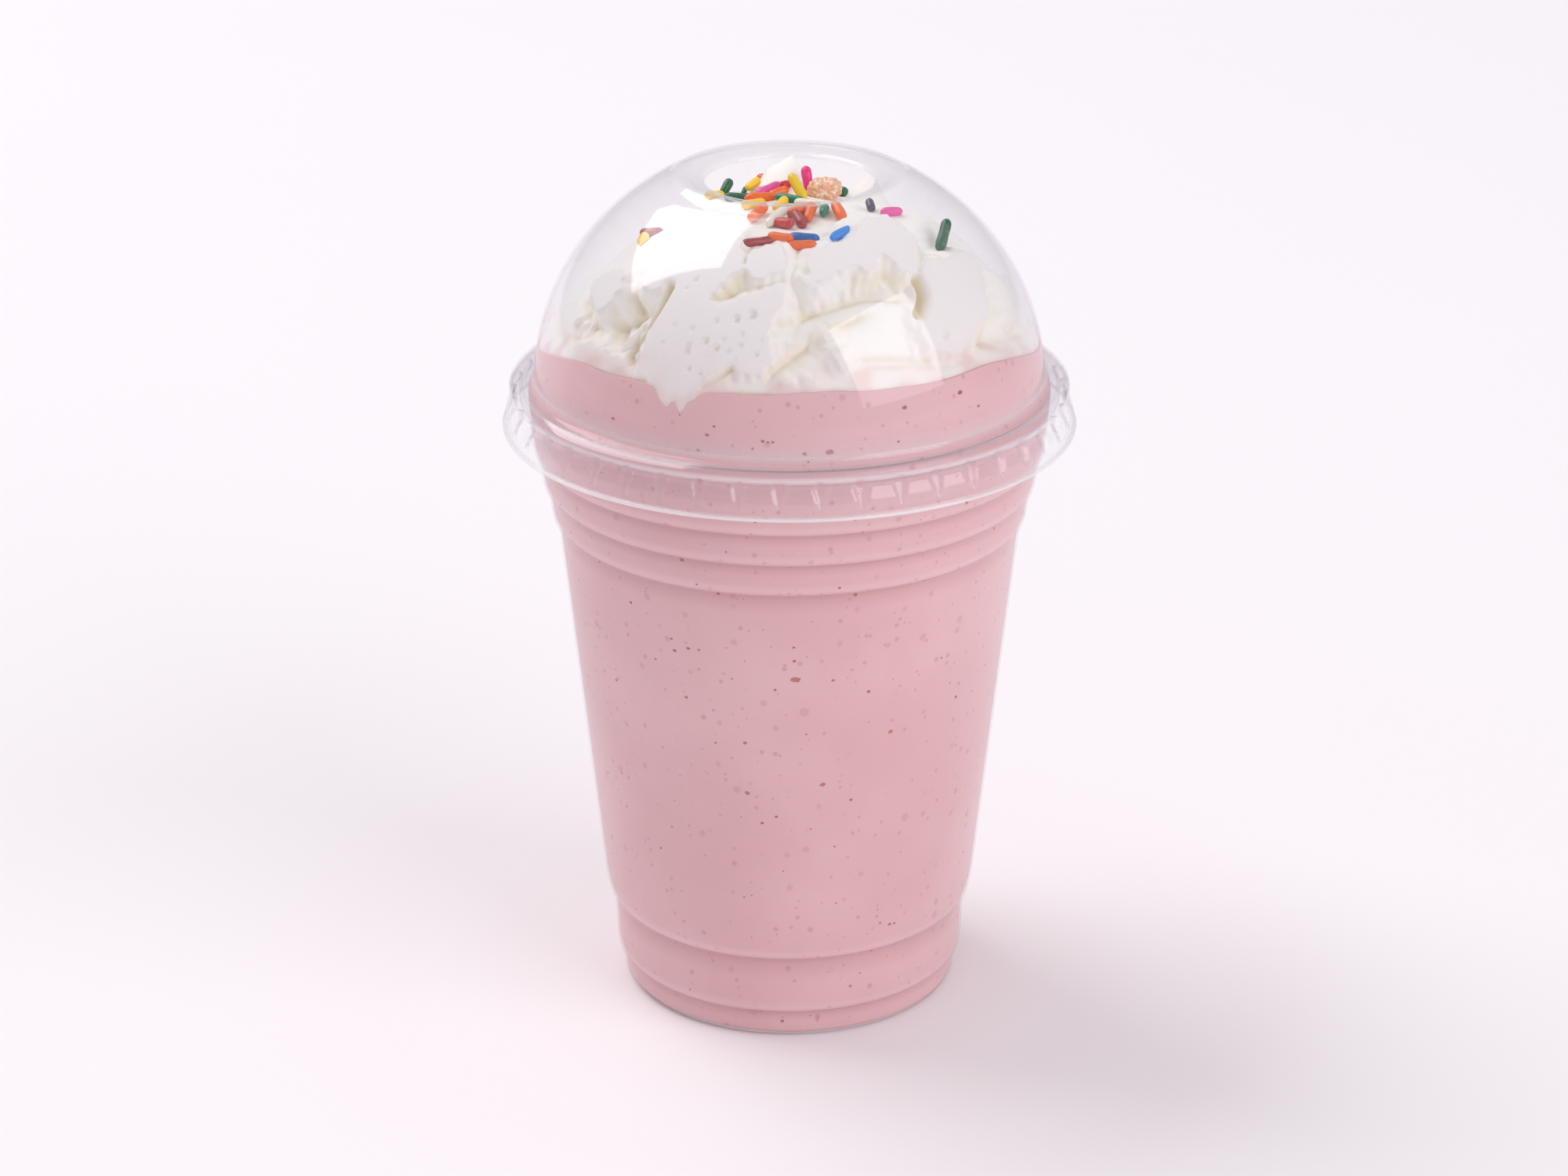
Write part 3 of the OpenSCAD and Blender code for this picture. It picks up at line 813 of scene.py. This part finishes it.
sprinkleColours = {
    "green": (0.002, 0.100, 0.032), "teal": (0.004, 0.200, 0.100), "yellow": (0.920, 0.600, 0.012),
    "pink": (0.850, 0.080, 0.360), "rose": (0.800, 0.020, 0.200), "red": (0.580, 0.012, 0.008),
    "crimson": (0.360, 0.006, 0.010), "orange": (0.880, 0.135, 0.003), "ivory": (0.860, 0.800, 0.680),
    "plum": (0.070, 0.050, 0.120), "blue": (0.002, 0.120, 0.440), "sky": (0.006, 0.240, 0.740),
}


# Round-ended rod along X: r = radius (1 - |s|^5)^(1/2) at x = s length / 2.
def rodGrid(length, radius, sides=14, rows=13):
    s = np.sin(np.linspace(-np.pi / 2, np.pi / 2, rows)) * 0.998
    r = radius * (1 - np.abs(s) ** 5) ** 0.5
    angle = np.linspace(0, 2 * np.pi, sides, endpoint=False)
    x = (s * length / 2)[:, None] + 0 * angle
    return np.stack([x, r[:, None] * np.cos(angle), r[:, None] * np.sin(angle)], axis=-1)


# larger flecks, given one by one: degrees round from the front, height in mm, radius in mm
largeFlecks = [
    (1.5, 76.2, 0.85), (-3.6, 74.0, 0.32), (-26.0, 80.5, 0.42), (-23.0, 80.6, 0.36),
    (-30.0, 79.5, 0.4), (-11.5, 52.6, 0.5),
    (-7.6, 46.5, 0.36), (1.0, 82.5, 0.3), (1.2, 79.8, 0.34), (-27.5, 70.5, 0.36), (27.5, 63.5, 0.55),
    (9.0, 54.5, 0.6),
    (-18.0, 123.0, 0.42), (-16.5, 124.6, 0.3), (-8.0, 121.2, 0.34), (8.5, 120.5, 0.75), (3.2, 120.4, 0.5),
    (41.0, 127.2, 0.55), (26.0, 126.8, 0.5), (-42.0, 122.6, 0.4), (-20.0, 120.2, 0.34),
    (24.0, 121.2, 0.3), (46.0, 124.0, 0.35),
    (-5.8, 122.6, 0.36), (-3.6, 122.5, 0.34), (-4.7, 122.45, 0.3),
]
fleckShape = {"count": 330, "least": 0.13, "most": 0.40, "low": 3.0, "high": 126.0, "sides": 7}


# Radius of the shake's side at a height: read along its own rows.
def shakeRadius(height):
    reach = shakeShape["reach"]
    rows = wallProfile(cupShape["wall"] - reach, cupShape["wall"] - reach)
    t = np.arcsin(np.linspace(lidShape["foot"], 12.0, 20) / domeRise)
    both = np.vstack([rows, [[mouthRadius + 0.05, cupHeight + 0.5]], domePoint(t, lidShape["wall"] - reach)])
    return np.interp(height, both[:, 1], both[:, 0])


# Flecks of fruit lying in the shake's side: flat rounds, an uneven ring with a low point on either face.
def fleckMesh():
    s = fleckShape
    draw = np.random.default_rng(8)
    many = s["count"]
    size = s["least"] + (s["most"] - s["least"]) * draw.uniform(0, 1, many) ** 3
    place = np.stack([draw.uniform(-180, 180, many), draw.uniform(s["low"], s["high"], many), size], axis=-1)
    place = np.vstack([place, largeFlecks])
    turn, height, size = np.radians(place[:, 0]), place[:, 1], place[:, 2]
    radius = shakeRadius(height)
    out = np.stack([np.sin(turn), -np.cos(turn), 0 * turn], axis=-1)
    across = np.stack([np.cos(turn), np.sin(turn), 0 * turn], axis=-1)
    up = np.array([0.0, 0.0, 1.0])
    centre = out * radius[:, None] + up * height[:, None]
    angle = np.linspace(0, 2 * np.pi, s["sides"], endpoint=False)
    uneven = draw.uniform(0.75, 1.2, (len(place), s["sides"], 1)) * size[:, None, None]
    around = across[:, None] * np.cos(angle)[None, :, None] + up * np.sin(angle)[None, :, None] * 0.9
    ring = centre[:, None] + uneven * around
    tips = centre[:, None] + out[:, None] * np.array([0.07, -0.25])[None, :, None]
    points = np.concatenate([ring, tips], axis=1).reshape(-1, 3)
    step = s["sides"] + 2
    first = np.arange(s["sides"])
    face = np.vstack([poleFaces(first, s["sides"]), poleFaces(first, s["sides"] + 1)[:, ::-1]])
    faces = (face[None] + (np.arange(len(place)) * step)[:, None, None]).reshape(-1, 3)
    return points, faces


# Height of the cream's top near (x, y), from its three nearest grid points.
def surfaceHeight(grid, x, y):
    points = grid[grid.shape[0] // 3:].reshape(-1, 3)
    away = np.hypot(points[:, 0] - x, points[:, 1] - y)
    return points[np.argsort(away)[:3], 2].mean()


sprinkleShape = {
    "length": 0.92,  # share of the length and the radius in the list
    "radius": 0.95,
    "sink": 0.15,  # share of the thickness that lies in the cream
    "uneven": 0.06,
    "bend": 0.012,
}


# Points, triangles and colours of all the rods, each bent by b x^2, tilted about Y, turned about Z and laid
# on the cream.
def sprinkleMesh(grid):
    s = sprinkleShape
    allPoints, allFaces, allColours = [], [], []
    start = 0
    draw = np.random.default_rng(21)
    for x, y, turn, tilt, length, radius, colour in sprinkles:
        length, radius = s["length"] * length, s["radius"] * radius
        rod = rodGrid(length, radius)
        rod[..., 1:] *= 1 + s["uneven"] * np.sin(rod[..., :1] * 1.3 + draw.uniform(0, 6))
        rod[..., 1] += draw.uniform(-s["bend"], s["bend"]) * rod[..., 0] ** 2
        tiltAngle, turnAngle = np.radians(tilt), np.radians(turn)
        cy, sy = np.cos(tiltAngle), np.sin(tiltAngle)
        cz, sz = np.cos(turnAngle), np.sin(turnAngle)
        tilted = rod @ np.array([[cy, 0, -sy], [0, 1, 0], [sy, 0, cy]]).T
        laid = np.stack([
            tilted[..., 0] * cz - tilted[..., 1] * sz,
            tilted[..., 0] * sz + tilted[..., 1] * cz,
            rod[..., 0] * sy + rod[..., 2] * cy,
        ], axis=-1)
        height = surfaceHeight(grid, x, y) + radius * (1 - 2 * s["sink"]) + abs(sy) * length * 0.30
        place = np.array([x, y, height])
        ends = [laid[0].mean(axis=0) + place, laid[-1].mean(axis=0) + place]
        points = np.vstack([laid.reshape(-1, 3) + place] + ends)
        allPoints.append(points)
        allFaces.append(closedFaces(*rod.shape[:2]) + start)
        shade = np.array(sprinkleColours[colour] + (1.0,)) * draw.uniform(0.92, 1.06)
        allColours.append(np.tile(shade, (len(points), 1)))
        start += len(points)
    return np.vstack(allPoints), np.vstack(allFaces), np.vstack(allColours)


crumbShape = {
    "middle": (6.3, 5.8, 151.9),
    "half": (3.1, 2.5, 2.2),
    "rough": 0.24,
    "peach": (0.82, 0.44, 0.27, 1),
    "sugar": (0.97, 0.84, 0.72, 1),
}


# Lump of sugared fruit: a sphere's grid stretched to three half sizes, pushed out and in by noise.
def crumbGrid(rows=44, columns=64):
    s = crumbShape
    t = np.linspace(-0.49, 0.49, rows)[:, None] * np.pi
    angle = np.linspace(0, 2 * np.pi, columns, endpoint=False)
    ball = np.stack([np.cos(t) * np.cos(angle), np.cos(t) * np.sin(angle), np.sin(t) + 0 * angle], axis=-1)
    place = ball * np.array(s["half"])
    push = 1 + s["rough"] * (0.20 * softNoise(place, 2.2, 41) + 0.10 * softNoise(place, 0.8, 42))
    push += s["rough"] * 0.05 * softNoise(place, 0.45, 43)
    return place * push[..., None] + np.array(s["middle"])


clearLook = {
    "tint": (0.988, 0.984, 0.990, 1.0),
    "gloss": (0.92, 0.92, 0.94, 1.0),
    # painted highlight: white for the lines along the lid's moulded edges
    "glintWhite": (0.97, 0.96, 0.97, 1),
    "cupLow": 0.035,  # share mirrored face on, by the cup and by the lid
    "lidLow": 0.038,
    "high": 0.58,  # what is added to it edge on
    "power": 4.0,
}


# Thin clear sheet: light passes, and it mirrors a share low + high facing^power. Moulded edges can get a
# painted highlight of milky white, by the edge attribute.
def clearPlastic(low, paintedGlints=False):
    finish = Finish("clearPlastic")
    facing = finish.add("ShaderNodeLayerWeight", None, {"Blend": 0.5}, output="Facing")
    ripple = finish.bump(finish.noise(60.0, 2.0), 0.0002, 0.12)
    glossy = {"Color": clearLook["gloss"], "Roughness": 0.045, "Normal": ripple}
    mirror = finish.add("ShaderNodeBsdfGlossy", None, glossy)
    through = finish.add("ShaderNodeBsdfTransparent", None, {"Color": clearLook["tint"]})
    share = facing ** clearLook["power"] * clearLook["high"] + low
    shader = finish.add("ShaderNodeMixShader", None, {0: share, 1: through, 2: mirror})
    if paintedGlints:
        # painted highlight: milky white mixed in along the moulded edges
        glintWhite = finish.principled({"Base Color": clearLook["glintWhite"], "Roughness": 0.12})
        mixed = {0: finish.attribute("edge") * 0.5, 1: shader, 2: glintWhite}
        shader = finish.add("ShaderNodeMixShader", None, mixed)
    return finish.show(shader)


shakeLook = {
    "deep": (0.765, 0.462, 0.476, 1),
    "light": (0.812, 0.515, 0.528, 1),
    # painted shade at each rib's start and painted highlight just above it
    "ribShade": (0.560, 0.270, 0.285, 1),
    "ribHighlight": (0.900, 0.640, 0.650, 1),
    "fleckDark": (0.400, 0.110, 0.115, 1),
    "fleckLight": (0.560, 0.210, 0.215, 1),
}
# soft specks: cells per metre, least draw that shows, growth of the radius, soft edge, strength, colour
specks = [
    (520.0, 0.46, 0.62, 0.10, 0.30, (0.430, 0.120, 0.130, 1)),
    (330.0, 0.48, 0.60, 0.16, 0.26, (0.500, 0.180, 0.190, 1)),
]


# Opaque pink, faintly mottled, with blurred specks, where (draw - least) growth is past the distance to the
# cell's middle, and a painted shade line with a painted highlight above it at the start of each rib.
def shakeFinish():
    finish = Finish("shake")
    mottle = finish.noise(28.0, 3.0).between(0.35, 0.7)
    colour = finish.blend(mottle, shakeLook["deep"], shakeLook["light"])
    for scale, least, growth, soft, strength, dark in specks:
        voronoi = {"Vector": finish.place(), "Scale": scale}
        away = finish.add("ShaderNodeTexVoronoi", {"feature": "F1"}, voronoi)
        draw = finish.add("ShaderNodeTexVoronoi", {"feature": "F1"}, voronoi, output="Color")
        mask = ((draw - least) * growth - away).between(-soft * 0.5, soft * 0.5) * strength
        colour = finish.blend(mask, colour, dark)
    # painted shade at each rib's start, painted highlight above it
    colour = finish.blend(finish.attribute("ribShade") * 0.55, colour, shakeLook["ribShade"])
    colour = finish.blend(finish.attribute("ribHighlight") * 0.35, colour, shakeLook["ribHighlight"])
    sockets = {"Base Color": colour, "Roughness": 0.5, "Subsurface Weight": 0.18, "Subsurface Scale": 0.002,
               "Specular IOR Level": 0.25}
    return finish.show(finish.principled(sockets))


# Dark red pulp, a little glossy.
def fleckFinish():
    finish = Finish("fruitFleck")
    mottle = finish.noise(500.0, 2.0).between(0.3, 0.7)
    colour = finish.blend(mottle, shakeLook["fleckDark"], shakeLook["fleckLight"])
    sockets = {"Base Color": colour, "Roughness": 0.4, "Specular IOR Level": 0.3}
    return finish.show(finish.principled(sockets))


creamLook = {
    "white": (0.985, 0.952, 0.900, 1),
    # painted yellowish shade in the folds
    "fold": (0.88, 0.79, 0.60, 1),
    "pressed": (0.955, 0.908, 0.880, 1),
    "pink": (0.90, 0.66, 0.62, 1),
}


# Warm white, greyer where it is pressed on the wall, with a painted yellowish shade in the folds, and pink
# near the shake.
def creamFinish():
    finish = Finish("cream")
    pressed, creaseShade = finish.attribute("pressed"), finish.attribute("creaseShade")
    pinkness = finish.attribute("pinkness")
    mottle = finish.noise(260.0, 3.0, 0.6)
    # painted yellowish shade in the folds and creases
    white = finish.blend(creaseShade, creamLook["white"], creamLook["fold"])
    white = finish.blend(pressed, white, creamLook["pressed"])
    white = finish.blend(pinkness, white, creamLook["pink"])
    height = mottle * 0.5 + finish.noise(900.0, 2.0) * 0.35
    free = (1 - pressed) * 0.55
    normal = finish.bump(height * free, 0.0004, 0.6)
    sockets = {"Base Color": white, "Roughness": 0.48, "Subsurface Weight": 0.18, "Subsurface Scale": 0.0015,
               "Specular IOR Level": 0.35, "Normal": normal}
    return finish.show(finish.principled(sockets))


# Glazed sugar in each rod's own colour, slightly mottled.
def sugarFinish():
    finish = Finish("sugar")
    colour = finish.add("ShaderNodeAttribute", {"attribute_name": "tint"}, output="Color")
    mottle = finish.noise(1400.0, 2.0).between(0.3, 0.75)
    pale = finish.blend(mottle * 0.05, colour, (0.9, 0.9, 0.9, 1))
    normal = finish.bump(finish.noise(1100.0, 2.0), 0.0001, 0.35)
    sockets = {"Base Color": pale, "Roughness": 0.33, "Coat Weight": 0.25, "Normal": normal}
    return finish.show(finish.principled(sockets))


# Peach, sparkling with sugar grains.
def crumbFinish():
    finish = Finish("crumb")
    grains = finish.noise(1500.0, 3.0).between(0.45, 0.7)
    colour = finish.blend(grains, crumbShape["peach"], crumbShape["sugar"])
    normal = finish.bump(finish.noise(1800.0, 3.0), 0.0003, 0.8)
    sockets = {"Base Color": colour, "Roughness": 0.42, "Subsurface Weight": 0.3, "Subsurface Scale": 0.001,
               "Normal": normal}
    return finish.show(finish.principled(sockets))


cup = closedPiece("cup_wall", lathe(cupProfile(), cupShape["sides"]), clearPlastic(clearLook["cupLow"]), 50)
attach(cup, "root")
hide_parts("cup")
print("cup made")

# the lid carries painted highlight lines along its moulded edges
lidPoints, lidGlints = lidGrid()
lidFaces = gridFaces(*lidPoints.shape[:2], wrapRows=True)
lid = meshPiece("dome_lid", lidPoints.reshape(-1, 3), lidFaces, clearPlastic(clearLook["lidLow"], True), 50)
giveAttribute(lid, "edge", lidGlints, 0)
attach(lid, "root")
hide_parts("lid")
print("lid made")

shakePoints = shakeGrid()
shake = closedPiece("shake", shakePoints, shakeFinish(), 60)
ribs = np.array(bandStarts()[1:])
above = shakePoints[..., 2, None] - ribs
side = np.hypot(shakePoints[..., 0], shakePoints[..., 1]) > cupShape["footRadius"] - 1
# where to paint shade at each rib's start and a painted highlight just above it
ribShade = bell(above - 0.1, 0.55).max(axis=-1) * side
ribHighlight = bell(above - 1.7, 0.8).max(axis=-1) * side
giveAttribute(shake, "ribShade", ribShade)
giveAttribute(shake, "ribHighlight", ribHighlight)
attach(shake, "root")
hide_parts("milkshake")
print("shake made")

creamGrid, pressed, creaseShade = creamParts()
cream = closedPiece("cream", creamGrid, creamFinish(), 180)
creamTurn = np.arctan2(creamGrid[..., 0], -creamGrid[..., 1])
edge = shakeLevel(creamTurn)
above = creamGrid[..., 2] - edge + 1.2 * softNoise(creamGrid, 7.0, 31)
drip = bell(np.degrees(creamTurn) + 26, 6.0)
pinkness = (0.75 - 0.2 * drip) * np.exp(-np.clip(above, 0, None) / (1.6 + 2.0 * drip))
giveAttribute(cream, "pressed", pressed)
# painted shade in the creases and folds
giveAttribute(cream, "creaseShade", creaseShade)
giveAttribute(cream, "pinkness", pinkness)
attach(cream, "root")
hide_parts("whipped_cream")
print("cream made")

fleckPoints, fleckFaces = fleckMesh()
fleckPiece = meshPiece("fruit_flecks", fleckPoints, fleckFaces, fleckFinish(), 60)
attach(fleckPiece, "root")
print("flecks made")

rodPoints, rodFaces, rodColours = sprinkleMesh(creamGrid)
rods = meshPiece("sprinkles", rodPoints, rodFaces, sugarFinish(), 60)
tint = rods.data.attributes.new("tint", "FLOAT_COLOR", "POINT")
tint.data.foreach_set("color", rodColours.astype(np.float32).ravel())
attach(rods, "root")
print("sprinkles made")


crumb = closedPiece("crumb", crumbGrid(), crumbFinish(), 70)
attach(crumb, "root")
print("crumb made")


# Square light at target + distance direction, facing the target.
def softbox(name, direction, distance, size, power, target=(0, 0, 0.09)):
    way = np.array(direction, float) / np.linalg.norm(direction)
    data = bpy.data.lights.new(name, "AREA")
    data.shape = "SQUARE"
    data.size = size
    data.energy = power
    lamp = bpy.data.objects.new(name, data)
    bpy.context.scene.collection.objects.link(lamp)
    spot = np.array(target) + way * distance
    lamp.location = spot
    lamp.rotation_euler = Vector(way).to_track_quat("Z", "Y").to_euler()
    return lamp


studio = {
    "floorHalf": 9000,
    "floorDark": (0.925, 0.886, 0.908, 1),
    "floorLight": (0.933, 0.894, 0.916, 1),
    "world": (0.97, 0.96, 1.0, 1),
    "worldStrength": 0.60,
}


# Matt pale floor, very faintly mottled.
def floorFinish():
    finish = Finish("paleFloor")
    mottle = finish.noise(3.0, 2.0).between(0.2, 0.8)
    colour = finish.blend(mottle, studio["floorDark"], studio["floorLight"])
    sockets = {"Base Color": colour, "Roughness": 0.8, "Specular IOR Level": 0.1}
    return finish.show(finish.principled(sockets))


floorPoints = np.array([[-1, -1, 0], [1, -1, 0], [1, 1, 0], [-1, 1, 0]], float) * studio["floorHalf"]
floor = meshPiece("floor", floorPoints, [[0, 1, 2, 3]], floorFinish())

softbox("keyBox", (-0.508, 0.336, 0.793), 3.0, 2.1, 43.0)
softbox("fillBox", (0.695, -0.535, 0.481), 3.0, 2.3, 33.0)

world = bpy.data.worlds.new("studio")
bpy.context.scene.world = world
world.use_nodes = True
world.node_tree.nodes["Background"].inputs["Color"].default_value = studio["world"]
world.node_tree.nodes["Background"].inputs["Strength"].default_value = studio["worldStrength"]

view = {"distance": 0.7625, "pitch": 22.296, "lens": 94.61, "aim": 0.07695, "side": -0.00099}
cameraData = bpy.data.cameras.new("camera")
cameraData.lens = view["lens"]
cameraData.sensor_width = 36.0
cameraData.clip_end = 20.0
camera = bpy.data.objects.new("camera", cameraData)
bpy.context.scene.collection.objects.link(camera)
pitch = np.radians(view["pitch"])
height = view["aim"] + view["distance"] * np.sin(pitch)
camera.location = (view["side"], -view["distance"] * np.cos(pitch), height)
camera.rotation_euler = (np.pi / 2 - pitch, 0, 0)
bpy.context.scene.camera = camera
bpy.context.scene.view_settings.view_transform = "Standard"
print("setting made")
